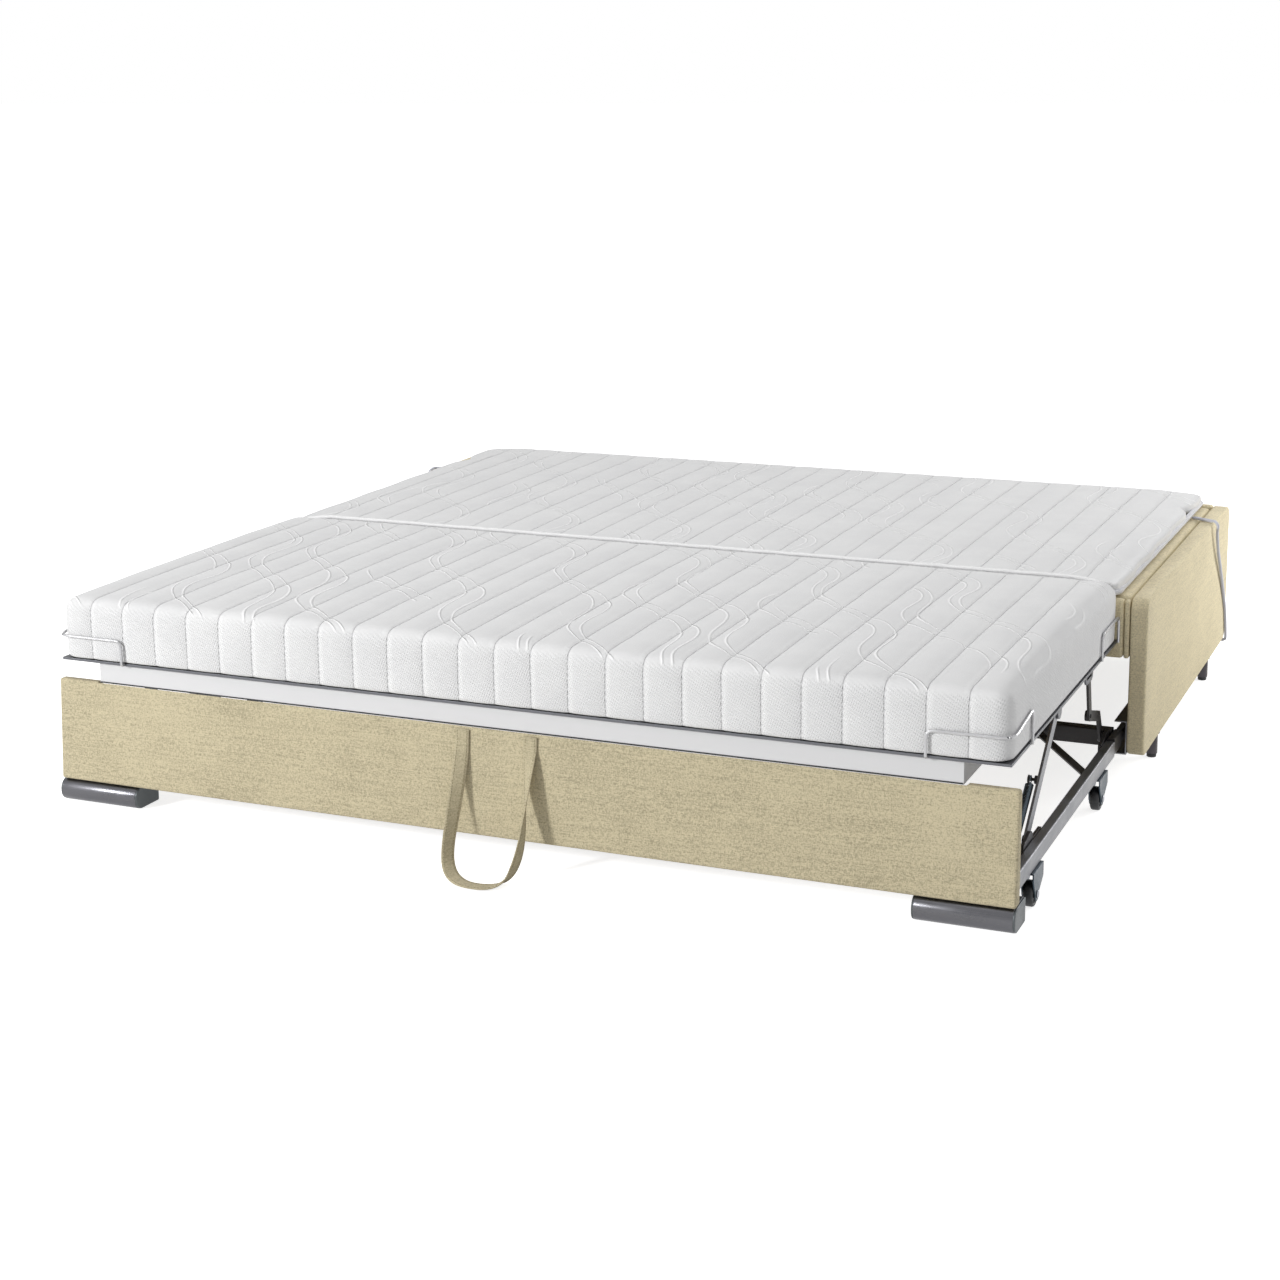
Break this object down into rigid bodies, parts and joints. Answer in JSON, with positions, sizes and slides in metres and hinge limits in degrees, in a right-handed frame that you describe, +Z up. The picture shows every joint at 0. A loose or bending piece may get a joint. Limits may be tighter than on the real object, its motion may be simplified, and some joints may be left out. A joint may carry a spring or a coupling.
{
  "type": "sleeper sofa with pull out bed",
  "caption": "Sleeper sofa bed: an upholstered seat box with a quilted mattress on a spring-lifted steel frame that lowers and rolls in towards the seat.",
  "frame": {"origin": "centre of the footprint, on the floor", "axes": "+Z up, -Y towards the front where the bed pulls out, +X to the right as seen from the front"},
  "size_m": [2.0976, 2.1312, 0.4363],
  "materials": {
    "woven_fabric": "coarse weave",
    "mattress_cover": "quilted knit",
    "apron_cover": "smooth coated cloth",
    "brushed_aluminium": "brushed",
    "grey_steel": "satin",
    "black_steel": "satin",
    "spring_steel": "oiled",
    "fork_steel": "zinc plated",
    "wheel_plastic": "matte",
    "elastic_tape": "ribbed elastic",
    "slat_wood": "smooth"
  },
  "bodies": {
    "seat_unit": {"seat_base": "woven_fabric", "seat_cushion": "woven_fabric", "seat_front_border": "woven_fabric", "side_panel_right": "woven_fabric", "side_panel_left": "woven_fabric", "back_board": "woven_fabric", "leg_front_right": "black_steel", "leg_front_left": "black_steel", "leg_rear_right": "black_steel", "leg_rear_left": "black_steel", "topper": "mattress_cover", "topper_band_right": "elastic_tape", "topper_band_left": "elastic_tape", "guide_channel_right": "grey_steel", "guide_channel_left": "grey_steel"},
    "carriage": {"front_panel": "woven_fabric", "foot_right": "brushed_aluminium", "foot_left": "brushed_aluminium", "side_rail_right": "grey_steel", "side_rail_left": "grey_steel", "front_crossbar": "black_steel", "rear_crossbar": "black_steel", "corner_brace_right": "black_steel", "corner_brace_left": "black_steel", "arm_bracket_right": "black_steel", "arm_bracket_left": "black_steel", "lever_bracket_right": "black_steel", "lever_bracket_left": "black_steel", "runner_right": "black_steel", "runner_left": "black_steel", "caster_fork_front_right": "fork_steel", "caster_fork_front_left": "fork_steel", "caster_fork_rear_right": "fork_steel", "caster_fork_rear_left": "fork_steel", "pull_loop": "woven_fabric"},
    "wheel_front_right": {"caster_wheel_front_right": "wheel_plastic"},
    "wheel_front_left": {"caster_wheel_front_left": "wheel_plastic"},
    "wheel_rear_right": {"caster_wheel_rear_right": "wheel_plastic"},
    "wheel_rear_left": {"caster_wheel_rear_left": "wheel_plastic"},
    "front_arms": {"front_arm_right": "grey_steel", "front_arm_left": "grey_steel", "spring_peg_right": "black_steel", "spring_peg_left": "black_steel"},
    "lift_springs": {"lift_spring_right": "spring_steel", "lift_spring_left": "spring_steel"},
    "rear_levers": {"rear_lever_right": "black_steel", "rear_lever_left": "black_steel"},
    "rear_struts": {"rear_strut_right": "black_steel", "rear_strut_left": "black_steel"},
    "platform": {"frame_side_bar_right": "grey_steel", "frame_side_bar_left": "grey_steel", "frame_front_bar": "grey_steel", "frame_rear_bar": "grey_steel", "slat_deck": "slat_wood", "wire_retainer_front_right": "grey_steel", "wire_retainer_front_left": "grey_steel", "wire_retainer_rear_right": "grey_steel", "wire_retainer_rear_left": "grey_steel", "apron": "apron_cover", "mattress": "mattress_cover"}
  },
  "joints": [
    {"name": "carriage_slide", "type": "slide", "parent": "seat_unit", "child": "carriage", "axis": [0, 1, 0], "range_m": [-0.125, 0]},
    {"name": "front_arms_turn", "type": "hinge", "parent": "carriage", "child": "front_arms", "pos_m": [0, -0.71486, 0.105], "axis": [1, 0, 0], "range_deg": [-37.6, 0]},
    {"name": "platform_level", "type": "hinge", "parent": "front_arms", "child": "platform", "pos_m": [0, -0.48822, 0.28592], "axis": [1, 0, 0], "range_deg": [0, 37.6]},
    {"name": "rear_levers_turn", "type": "hinge", "parent": "carriage", "child": "rear_levers", "pos_m": [0, -0.03736, 0.105], "axis": [1, 0, 0], "range_deg": [0, 61.3]},
    {"name": "rear_struts_turn", "type": "hinge", "parent": "rear_levers", "child": "rear_struts", "pos_m": [0, -0.18236, 0.19], "axis": [1, 0, 0], "range_deg": [-98.4, 0]},
    {"name": "lift_springs_turn", "type": "hinge", "parent": "carriage", "child": "lift_springs", "pos_m": [0, -0.76582, 0.08429], "axis": [1, 0, 0], "range_deg": [-26.4, 0]},
    {"name": "wheel_front_right_roll", "type": "hinge", "parent": "carriage", "child": "wheel_front_right", "pos_m": [0.99, -0.75986, 0.024], "axis": [1, 0, 0], "continuous": true},
    {"name": "wheel_front_left_roll", "type": "hinge", "parent": "carriage", "child": "wheel_front_left", "pos_m": [-0.99, -0.75986, 0.024], "axis": [1, 0, 0], "continuous": true},
    {"name": "wheel_rear_right_roll", "type": "hinge", "parent": "carriage", "child": "wheel_rear_right", "pos_m": [0.99, -0.19486, 0.024], "axis": [1, 0, 0], "continuous": true},
    {"name": "wheel_rear_left_roll", "type": "hinge", "parent": "carriage", "child": "wheel_rear_left", "pos_m": [-0.99, -0.19486, 0.024], "axis": [1, 0, 0], "continuous": true}
  ],
  "couplings": [
    {"joint": "front_arms_turn", "follows": "carriage_slide", "rad_per_m": 5.2261},
    {"joint": "platform_level", "follows": "carriage_slide", "rad_per_m": -5.2261},
    {"joint": "rear_levers_turn", "follows": "carriage_slide", "rad_per_m": -8.5209},
    {"joint": "rear_struts_turn", "follows": "carriage_slide", "rad_per_m": 13.694},
    {"joint": "lift_springs_turn", "follows": "carriage_slide", "rad_per_m": 3.6641}
  ]
}
